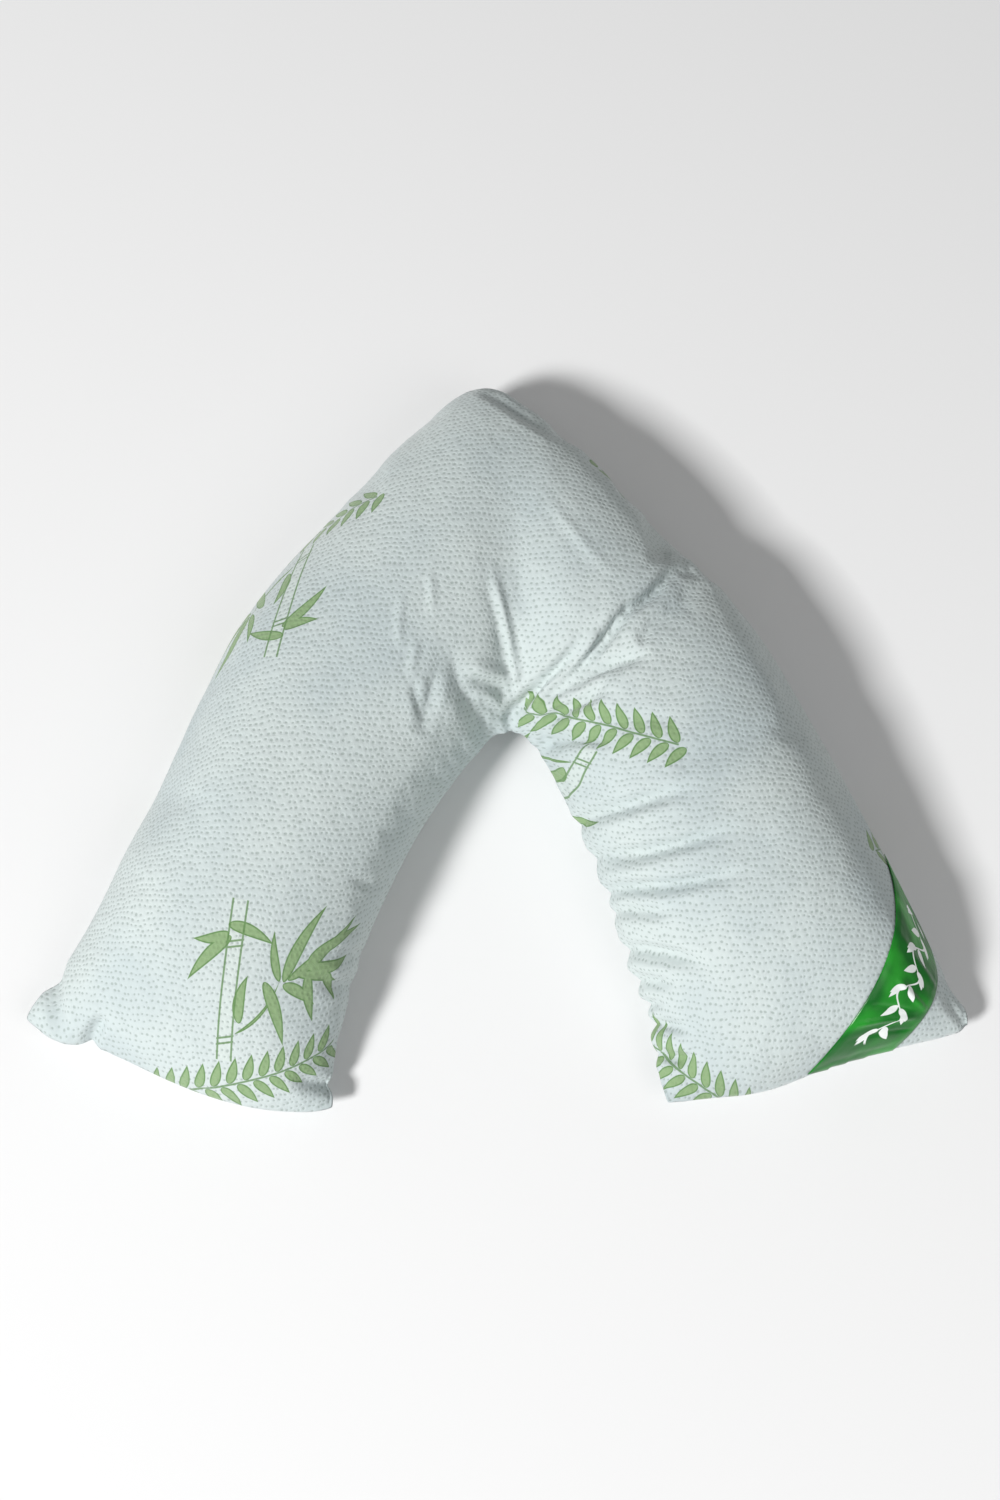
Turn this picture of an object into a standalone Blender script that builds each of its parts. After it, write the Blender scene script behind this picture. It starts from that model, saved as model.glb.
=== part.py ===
"""V-shaped bed pillow lying on its back: a filled cover of two panels sewn edge to edge all round,
and a satin ribbon sewn across the outer corner of one leg. Metres, +Z up, the V's apex towards +Y."""

import math
from collections import namedtuple

import bmesh
import bpy
import numpy as np
from mathutils import Vector
from mathutils.bvhtree import BVHTree

# Sections across the pillow, from the end seam of the left leg, over the apex, to that of the right leg.
# Each has its point on the outer seam, its point on the inner seam, how high the filled front
# panel crowns above the seam, and how high the seam lies above the floor.
Section = namedtuple("Section", "outer_x outer_y inner_x inner_y crown seam_z")
SECTIONS = (
    Section(-0.467, -0.286, -0.159, -0.369, 0.068, 0.026),
    Section(-0.421, -0.222, -0.151, -0.281, 0.076, 0.038),
    Section(-0.388, -0.161, -0.130, -0.206, 0.084, 0.048),
    Section(-0.351, -0.070, -0.088, -0.116, 0.090, 0.054),
    Section(-0.311, 0.025, -0.048, -0.053, 0.092, 0.056),
    Section(-0.249, 0.135, -0.020, -0.018, 0.092, 0.056),
    Section(-0.169, 0.234, -0.008, -0.006, 0.090, 0.056),
    Section(-0.095, 0.319, 0.001, 0.001, 0.086, 0.054),
    Section(-0.016, 0.373, 0.012, 0.004, 0.084, 0.052),
    Section(0.072, 0.313, 0.024, 0.001, 0.086, 0.054),
    Section(0.160, 0.218, 0.034, -0.008, 0.090, 0.056),
    Section(0.252, 0.119, 0.045, -0.026, 0.092, 0.056),
    Section(0.314, 0.007, 0.063, -0.070, 0.092, 0.056),
    Section(0.360, -0.086, 0.085, -0.116, 0.090, 0.054),
    Section(0.403, -0.175, 0.108, -0.176, 0.086, 0.048),
    Section(0.435, -0.243, 0.130, -0.252, 0.078, 0.038),
    Section(0.470, -0.294, 0.162, -0.365, 0.068, 0.026),
)
STATIONS = 156  # steps of the panels' grid along the pillow
STRIPS = 24  # steps across it
SAMPLES_A_SECTION = 24  # for measuring lengths along the sections

# How the filling rounds the panels, away from the seams: 1 - |t| ** POWER, raised to ROUND.
SIDE_POWER, SIDE_ROUND = 2.3, 0.66
END_POWER, END_ROUND = 2.4, 0.72
END_TAPER = 0.175  # length of a leg's end over which the filling thins to the end seam
FLOOR_SHARE = 0.62  # rounding at which the back panel has come down to the floor
EDGE_CROWDING = 0.55  # how much the strips crowd towards the seams
SEAM_WELD = 0.00002  # the two panels' points closer than this are one stitch of the seam

# How far each end seam bows out beyond its corners, how much more so towards the inner corner,
# and the length of leg that bows with it.
LEFT_BOW, RIGHT_BOW = 0.022, 0.006
BOW_SKEW = 0.7
BOW_REACH = 0.100

# Folds and puckers, along points in plan. A positive depth is a trough and a negative one a ridge.
Fold = namedtuple("Fold", "name depth width points")
FOLDS = (
    Fold("crotch_upper", 0.007, 0.010, ((0.022, 0.016), (0.048, 0.037), (0.084, 0.072))),
    Fold("crotch_main", 0.009, 0.010, ((0.040, 0.024), (0.091, 0.058), (0.126, 0.108), (0.146, 0.132))),
    Fold("crotch_branch", 0.005, 0.009, ((0.124, 0.098), (0.148, 0.118), (0.172, 0.150))),
    Fold("crotch_lower", 0.008, 0.012, ((0.038, 0.012), (0.071, 0.033), (0.101, 0.045), (0.184, 0.046))),
    Fold("crotch_ridge", -0.006, 0.009, ((-0.012, 0.152), (-0.002, 0.111), (0.010, 0.080), (0.014, 0.044))),
    Fold("crotch_left", 0.007, 0.009, ((-0.030, 0.004), (-0.040, 0.033), (-0.048, 0.062))),
    Fold("left_leg_pleat", 0.005, 0.010, ((-0.086, -0.010), (-0.080, 0.030), (-0.094, 0.122))),
    Fold("left_leg_dimple", 0.004, 0.010, ((-0.058, 0.080), (-0.066, 0.112), (-0.062, 0.136))),
    Fold("apex_ridge", -0.005, 0.016, ((0.000, 0.269), (0.052, 0.204), (0.085, 0.160), (0.115, 0.130))),
    Fold("apex_seam_fold", 0.004, 0.009, ((-0.010, 0.355), (0.036, 0.306), (0.079, 0.287))),
    Fold("pucker_1", 0.006, 0.009, ((0.042, -0.026), (0.079, -0.027), (0.118, -0.045))),
    Fold("pucker_2", 0.009, 0.009, ((0.076, -0.106), (0.101, -0.100), (0.126, -0.093), (0.172, -0.096))),
    Fold("pucker_3", 0.008, 0.009, ((0.094, -0.128), (0.126, -0.139), (0.200, -0.138))),
    Fold("pucker_4", 0.008, 0.009, ((0.104, -0.164), (0.129, -0.166), (0.214, -0.172))),
    Fold("pucker_5", 0.007, 0.009, ((0.114, -0.216), (0.147, -0.229), (0.216, -0.246))),
    Fold("pucker_6", 0.007, 0.009, ((0.132, -0.244), (0.152, -0.254), (0.182, -0.280))),
    Fold("pucker_7", 0.006, 0.009, ((0.140, -0.268), (0.151, -0.282), (0.170, -0.306))),
    Fold("right_leg_fold", 0.004, 0.014, ((0.276, -0.014), (0.248, -0.036), (0.214, -0.056))),
    Fold("left_inner_pucker_1", 0.005, 0.012, ((-0.146, -0.256), (-0.172, -0.262), (-0.204, -0.258))),
    Fold("left_inner_pucker_2", 0.006, 0.009, ((-0.160, -0.346), (-0.180, -0.348), (-0.206, -0.344))),
    Fold("left_ear_fold", 0.006, 0.009, ((-0.434, -0.246), (-0.432, -0.280), (-0.424, -0.310))),
    Fold("left_ear_crease", 0.005, 0.008, ((-0.404, -0.308), (-0.392, -0.293), (-0.376, -0.284))),
    Fold("left_side_hollow", 0.006, 0.036, ((-0.292, 0.030), (-0.330, -0.060), (-0.350, -0.150))),
)
FOLD_FADE = 0.30  # share of a fold's length over which it dies away at its inner end
FOLD_END = 0.35  # share of its depth that is left there

# Broad unevenness of the filling: height, waves in each metre along x and y, and phase.
Lump = namedtuple("Lump", "height along_x along_y phase")
LUMPS = (
    Lump(0.0030, 2.1, 1.3, 0.4),
    Lump(0.0022, -1.7, 3.1, 1.9),
    Lump(0.0016, 4.3, 2.2, 3.1),
)

# The ribbon: where its two long edges lie in plan, each a curve through an end on the outer seam,
# a middle pulled towards the corner, and an end on the end seam.
RIBBON_INNER = ((0.3770, -0.133), (0.3710, -0.230), (0.3000, -0.326))
RIBBON_OUTER = ((0.4160, -0.223), (0.4160, -0.262), (0.3800, -0.306))
RIBBON_LIFT = 0.0006  # gap under the ribbon
RIBBON_THICKNESS = 0.0010
RIBBON_STEPS = (40, 14)  # along the ribbon and across it

COVER_COLOUR = (0.80, 0.84, 0.85, 1.0)
RIBBON_COLOUR = (0.020, 0.300, 0.030, 1.0)


def clear_scene():
    for obj in list(bpy.data.objects):
        bpy.data.objects.remove(obj, do_unlink=True)


def material(name, colour, roughness):
    made = bpy.data.materials.new(name)
    made.use_nodes = True
    shader = made.node_tree.nodes["Principled BSDF"]
    shader.inputs["Base Color"].default_value = colour
    shader.inputs["Roughness"].default_value = roughness
    shader.inputs["Metallic"].default_value = 0.0
    return made


def section_at(place):
    """The section at a place counted in sections, on a smooth curve through the table's rows."""
    rows = np.array(SECTIONS)
    last = len(rows) - 1
    k = min(int(place), last - 1)
    t = place - k
    before = rows[k - 1] if k > 0 else 2 * rows[0] - rows[1]
    after = rows[k + 2] if k + 2 <= last else 2 * rows[last] - rows[last - 1]
    a, b = rows[k], rows[k + 1]
    bend = (2 * before - 5 * a + 4 * b - after) * t * t + (3 * a - before - 3 * b + after) * t**3
    return Section(*(a + 0.5 * ((b - before) * t + bend)))


def station_places():
    """Places of the grid's stations, even along the outer seam, and how far each is from both ends."""
    count = (len(SECTIONS) - 1) * SAMPLES_A_SECTION
    fine = np.linspace(0, len(SECTIONS) - 1, count + 1)
    rows = np.array([section_at(place) for place in fine])
    outer, middle = rows[:, 0:2], (rows[:, 0:2] + rows[:, 2:4]) / 2
    along_outer = np.append(0, np.linalg.norm(np.diff(outer, axis=0), axis=1).cumsum())
    along_middle = np.append(0, np.linalg.norm(np.diff(middle, axis=0), axis=1).cumsum())
    places = np.interp(np.linspace(0, along_outer[-1], STATIONS + 1), along_outer, fine)
    from_left = np.interp(places, fine, along_middle)
    return places, from_left, along_middle[-1] - from_left


def rounding(t, power, roundness):
    """1 at the middle, where t is 0, falling to 0 at the seam, where t is 1."""
    return max(0.0, 1 - min(1.0, abs(t)) ** power) ** roundness


def lump(x, y):
    return sum(w.height * math.sin(2 * math.pi * (w.along_x * x + w.along_y * y) + w.phase) for w in LUMPS)


def panel_point(place, from_left, from_right, across, front):
    """A point of the front or back panel; across runs from 0 on the outer seam to 1 on the inner seam."""
    row = section_at(place)
    outer = np.array((row.outer_x, row.outer_y))
    inner = np.array((row.inner_x, row.inner_y))
    side = 2 * across - 1
    end = min(from_left, from_right)
    forward = np.array((inner[1] - outer[1], outer[0] - inner[0])) / np.linalg.norm(inner - outer)
    bow = LEFT_BOW if from_left < from_right else -RIGHT_BOW
    bow *= (1 - side**2) * (1 + BOW_SKEW * side) * math.exp(-((end / BOW_REACH) ** 2))
    x, y = outer + (inner - outer) * across + forward * bow
    fill = rounding(side, SIDE_POWER, SIDE_ROUND)
    fill *= rounding(max(0.0, 1 - end / END_TAPER), END_POWER, END_ROUND)
    if front:
        return Vector((x, y, row.seam_z + fill * (row.crown + lump(x, y))))
    drop = 1 - max(0.0, 1 - fill / FLOOR_SHARE) ** 2
    return Vector((x, y, row.seam_z * (1 - drop)))


def strip_places():
    """Places across the panels, from 0 to 1, crowding towards both seams."""
    even = np.linspace(-1, 1, STRIPS + 1)
    crowded = np.sin(even * math.pi / 2)
    return (even + (crowded - even) * EDGE_CROWDING + 1) / 2


def fold_push(point):
    """How far the folds push the cover in at a point, from its distance in plan to each fold's line."""
    push = 0.0
    place = Vector((point.x, point.y))
    for fold in FOLDS:
        points = [Vector(p) for p in fold.points]
        lengths = [(b - a).length for a, b in zip(points, points[1:])]
        gone, nearest, along = 0.0, 1.0, 0.0
        for a, b, length in zip(points, points[1:], lengths):
            t = min(1.0, max(0.0, (place - a).dot(b - a) / length**2))
            away = (place - a.lerp(b, t)).length
            if away < nearest:
                nearest, along = away, (gone + t * length) / sum(lengths)
            gone += length
        fade = min(1.0, (1 - along) / FOLD_FADE)
        share = FOLD_END + (1 - FOLD_END) * fade * fade * (3 - 2 * fade)
        push += fold.depth * math.exp(-((nearest / fold.width) ** 2)) * share
    return push


def add_panel(mesh, stations, strips, front):
    """Adds one panel to the mesh as a grid and bends it into its filled shape."""
    made = bmesh.ops.create_grid(mesh, x_segments=STATIONS, y_segments=STRIPS, size=1)
    places, from_left, from_right = stations
    for vert in made["verts"]:
        i = round((vert.co.x + 1) / 2 * STATIONS)
        j = round((vert.co.y + 1) / 2 * STRIPS)
        vert.co = panel_point(places[i], from_left[i], from_right[i], strips[j], front)


def object_from(mesh, name, finish, collection):
    data = bpy.data.meshes.new(name)
    mesh.to_mesh(data)
    data.materials.append(finish)
    data.shade_smooth()
    obj = bpy.data.objects.new(name, data)
    collection.objects.link(obj)
    return obj


def build_pillow(collection):
    """Both panels, sewn all round with the tips of the corners cut off, and creased."""
    mesh = bmesh.new()
    stations, strips = station_places(), strip_places()
    add_panel(mesh, stations, strips, front=True)
    add_panel(mesh, stations, strips, front=False)
    bmesh.ops.remove_doubles(mesh, verts=mesh.verts, dist=SEAM_WELD)
    corners = [vert for vert in mesh.verts if len(vert.link_edges) == 2]
    bmesh.ops.dissolve_verts(mesh, verts=corners)
    bmesh.ops.recalc_face_normals(mesh, faces=mesh.faces)
    mesh.normal_update()
    moves = {}
    for vert in mesh.verts:
        if vert.co.z > 0:
            under = min(1.0, max(0.0, 1 + vert.normal.z))
            moves[vert] = vert.normal * -fold_push(vert.co) * under
    for vert, move in moves.items():
        vert.co += move
        vert.co.z = max(0.0, vert.co.z)
    return object_from(mesh, "pillow", material("cover_cloth", COVER_COLOUR, 0.85), collection)


def curve_through(points, t):
    """A point on the curve that starts and ends at the outer points and passes its middle point halfway."""
    a, middle, b = (Vector(p) for p in points)
    pull = middle * 2 - (a + b) / 2
    return a * (1 - t) ** 2 + pull * 2 * t * (1 - t) + b * t * t


def build_ribbon(pillow, collection):
    body = bmesh.new()
    body.from_mesh(pillow.data)
    tree = BVHTree.FromBMesh(body)
    mesh = bmesh.new()
    steps_along, steps_across = RIBBON_STEPS
    made = bmesh.ops.create_grid(mesh, x_segments=steps_along, y_segments=steps_across, size=0.5)
    for vert in made["verts"]:
        along, across = vert.co.x + 0.5, vert.co.y + 0.5
        plan = curve_through(RIBBON_INNER, along).lerp(curve_through(RIBBON_OUTER, along), across)
        spot, normal, _, _ = tree.ray_cast(Vector((plan.x, plan.y, 1.0)), Vector((0, 0, -1)))
        vert.co = spot + normal * RIBBON_LIFT
    body.free()
    ribbon = object_from(mesh, "corner_ribbon", material("ribbon_satin", RIBBON_COLOUR, 0.35), collection)
    wall = ribbon.modifiers.new("wall", "SOLIDIFY")
    wall.thickness = RIBBON_THICKNESS
    wall.offset = 1.0
    return ribbon


def stand_at_origin(pillow, ribbon):
    """Moves both pieces so that the origin is under the middle of the pillow."""
    low = np.min([vert.co for vert in pillow.data.vertices], axis=0)
    high = np.max([vert.co for vert in pillow.data.vertices], axis=0)
    for piece in (pillow, ribbon):
        piece.location = (-(low[0] + high[0]) / 2, -(low[1] + high[1]) / 2, 0)


def main():
    clear_scene()
    collection = bpy.data.collections.new("v_shaped_pillow")
    bpy.context.scene.collection.children.link(collection)
    pillow = build_pillow(collection)
    ribbon = build_ribbon(pillow, collection)
    stand_at_origin(pillow, ribbon)


main()
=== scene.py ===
import math
from collections import namedtuple
from functools import partial

import bmesh
import bpy
import numpy as np
from mathutils import Matrix, Vector
from mathutils.bvhtree import BVHTree


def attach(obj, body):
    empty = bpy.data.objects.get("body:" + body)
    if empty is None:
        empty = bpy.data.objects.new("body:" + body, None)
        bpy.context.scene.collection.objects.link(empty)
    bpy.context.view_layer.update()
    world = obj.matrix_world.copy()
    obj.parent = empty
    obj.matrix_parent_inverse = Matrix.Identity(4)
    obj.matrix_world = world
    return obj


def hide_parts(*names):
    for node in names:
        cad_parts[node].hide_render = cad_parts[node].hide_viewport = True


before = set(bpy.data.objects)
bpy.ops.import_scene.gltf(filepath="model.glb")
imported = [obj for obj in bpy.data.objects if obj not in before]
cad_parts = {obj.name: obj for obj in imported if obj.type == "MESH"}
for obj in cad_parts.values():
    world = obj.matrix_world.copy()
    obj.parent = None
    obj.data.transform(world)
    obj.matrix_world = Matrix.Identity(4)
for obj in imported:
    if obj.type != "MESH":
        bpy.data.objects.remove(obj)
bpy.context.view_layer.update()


# Camera. It stands in front of the pillow's open side and looks steeply down on it, 1.8 m away.
camera_target = Vector((-0.0015, -0.020, 0.060))
camera_distance = 1.8
camera_elevation = math.radians(75)
camera_lens_mm = 43.2

camera = bpy.data.objects.new("camera", bpy.data.cameras.new("camera"))
camera.data.lens = camera_lens_mm
camera.data.sensor_width = 36
towards_camera = Vector((0, -math.cos(camera_elevation), math.sin(camera_elevation)))
camera.location = camera_target + towards_camera * camera_distance
camera.rotation_euler = (math.pi / 2 - camera_elevation, 0, 0)
bpy.context.scene.collection.objects.link(camera)
bpy.context.scene.camera = camera
bpy.context.scene.view_settings.view_transform = "Standard"


# Cover, cut and sewn. Two equal V-shaped panels of pale double knit are sewn edge to edge all round.
# Each rib is a line across the pillow from the outer seam to the inner one, with how high the filling
# crowns the front panel above the seam and how high the seam lies.
Rib = namedtuple("Rib", "outer_x outer_y inner_x inner_y crown seam_z")
ribs = (
    Rib(-0.464, -0.285, -0.161, -0.369, 0.068, 0.026),
    Rib(-0.422, -0.223, -0.152, -0.282, 0.076, 0.038),
    Rib(-0.389, -0.162, -0.131, -0.207, 0.084, 0.048),
    Rib(-0.352, -0.071, -0.089, -0.117, 0.090, 0.054),
    Rib(-0.312, 0.024, -0.049, -0.054, 0.092, 0.056),
    Rib(-0.250, 0.134, -0.021, -0.019, 0.092, 0.056),
    Rib(-0.170, 0.233, -0.009, -0.007, 0.090, 0.056),
    Rib(-0.096, 0.318, 0.000, 0.000, 0.086, 0.054),
    Rib(-0.017, 0.372, 0.011, 0.003, 0.084, 0.052),
    Rib(0.071, 0.312, 0.023, 0.000, 0.086, 0.054),
    Rib(0.159, 0.217, 0.033, -0.009, 0.090, 0.056),
    Rib(0.251, 0.118, 0.044, -0.027, 0.092, 0.056),
    Rib(0.313, 0.006, 0.062, -0.071, 0.092, 0.056),
    Rib(0.359, -0.087, 0.084, -0.117, 0.090, 0.054),
    Rib(0.402, -0.176, 0.107, -0.177, 0.086, 0.048),
    Rib(0.434, -0.244, 0.129, -0.253, 0.078, 0.038),
    Rib(0.465, -0.293, 0.161, -0.365, 0.068, 0.026),
)
grid_along, grid_across = 200, 60  # knit squares along and across each panel
edge_crowding = 0.55  # how much they crowd towards the seams
samples_a_rib = 24
side_power, side_round = 2.3, 0.66
end_power, end_round = 2.4, 0.72
end_taper = 0.175
left_bow, right_bow, bow_skew, bow_reach = 0.022, 0.006, 0.7, 0.100
floor_share = 0.62
stitch_gap = 0.00002


def rib_between(place):
    """The rib at a place counted in ribs, on a smooth curve through the table's rows."""
    rows = np.array(ribs)
    last = len(rows) - 1
    k = min(int(place), last - 1)
    t = place - k
    before = rows[k - 1] if k > 0 else 2 * rows[0] - rows[1]
    after = rows[k + 2] if k + 2 <= last else 2 * rows[last] - rows[last - 1]
    a, b = rows[k], rows[k + 1]
    bend = (2 * before - 5 * a + 4 * b - after) * t * t + (3 * a - before - 3 * b + after) * t**3
    return a + 0.5 * ((b - before) * t + bend)


def lengths_along(points):
    """How far each point lies along the line through them all."""
    return np.append(0, np.linalg.norm(np.diff(points, axis=0), axis=1).cumsum())


def panel_shape():
    """Where the grid's points lie on the filled front and back panels."""
    fine = np.linspace(0, len(ribs) - 1, (len(ribs) - 1) * samples_a_rib + 1)
    rows = np.array([rib_between(place) for place in fine])
    along_outer = lengths_along(rows[:, 0:2])
    along_inner = lengths_along(rows[:, 2:4])
    along_middle = lengths_along((rows[:, 0:2] + rows[:, 2:4]) / 2)
    even = np.linspace(0, 1, grid_along + 1)[:, None]
    outer_place = np.interp(even * along_outer[-1], along_outer, fine)
    inner_place = np.interp(even * along_inner[-1], along_inner, fine)
    steps = np.linspace(-1, 1, grid_across + 1)
    across = ((steps + (np.sin(steps * math.pi / 2) - steps) * edge_crowding + 1) / 2)[None, :]
    place = outer_place + (inner_place - outer_place) * across
    outer = np.stack([np.interp(outer_place, fine, rows[:, k]) for k in (0, 1)], axis=-1)
    inner = np.stack([np.interp(inner_place, fine, rows[:, k]) for k in (2, 3)], axis=-1)
    crown, seam_z = (np.interp(place, fine, rows[:, k]) for k in (4, 5))
    from_left = np.interp(place, fine, along_middle)
    from_right = along_middle[-1] - from_left
    end = np.minimum(from_left, from_right)
    side = 2 * across - 1
    forward = np.stack([(inner - outer)[..., 1], -(inner - outer)[..., 0]], axis=-1)
    forward /= np.linalg.norm(forward, axis=-1, keepdims=True)
    bow = np.where(from_left < from_right, left_bow, -right_bow)
    bow = bow * (1 - side**2) * (1 + bow_skew * side) * np.exp(-((end / bow_reach) ** 2))
    plan = outer + (inner - outer) * across[..., None] + forward * bow[..., None]
    fill = np.maximum(0, 1 - np.abs(side) ** side_power) ** side_round
    fill = fill * (1 - np.maximum(0, 1 - end / end_taper) ** end_power) ** end_round
    back_drop = 1 - np.maximum(0, 1 - fill / floor_share) ** 2
    front = np.dstack([plan, seam_z + fill * crown])
    back = np.dstack([plan, seam_z * (1 - back_drop)])
    return front, back


def add_panel(mesh, shape, flat, face_way):
    """Adds one panel's grid of knit to the mesh, mapped in metres as it was cut. The back's way is -1."""
    cut = mesh.loops.layers.uv.get("cut") or mesh.loops.layers.uv.new("cut")
    grid = mesh.verts.layers.float_vector.get("grid") or mesh.verts.layers.float_vector.new("grid")
    way = mesh.faces.layers.int.get("way") or mesh.faces.layers.int.new("way")
    made = bmesh.ops.create_grid(mesh, x_segments=grid_along, y_segments=grid_across, size=1)
    for vert in made["verts"]:
        i = round((vert.co.x + 1) / 2 * grid_along)
        j = round((vert.co.y + 1) / 2 * grid_across)
        vert.co = shape[i, j]
        vert[grid] = (i, j, face_way)
        for loop in vert.link_loops:
            loop[cut].uv = (flat[i, j][0] * face_way, flat[i, j][1])
            loop.face[way] = face_way


def flat_cut(shape):
    """Lays the front panel out flat, in metres, as it was cut, and returns each grid point's place."""
    steps = np.linalg.norm(np.diff(shape, axis=1), axis=-1)
    arc = np.concatenate([np.zeros((grid_along + 1, 1)), steps.cumsum(axis=1)], axis=1)
    arc -= arc[:, grid_across // 2, None]
    middle = shape[:, grid_across // 2, None, 0:2]
    ways = shape[:, -1, 0:2] - shape[:, 0, 0:2]
    ways /= np.linalg.norm(ways, axis=-1, keepdims=True)
    return middle + ways[:, None, :] * arc[..., None]


front_shape, back_shape = panel_shape()
flat = flat_cut(front_shape)
cover_mesh = bmesh.new()
add_panel(cover_mesh, front_shape, flat, 1)
add_panel(cover_mesh, back_shape, flat, -1)
bmesh.ops.remove_doubles(cover_mesh, verts=cover_mesh.verts, dist=stitch_gap)
bmesh.ops.recalc_face_normals(cover_mesh, faces=cover_mesh.faces)
cover_data = bpy.data.meshes.new("cover")
cover_mesh.to_mesh(cover_data)
cover_mesh.free()
cover_data.shade_smooth()
cover = bpy.data.objects.new("cover", cover_data)
bpy.context.scene.collection.objects.link(cover)


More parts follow.
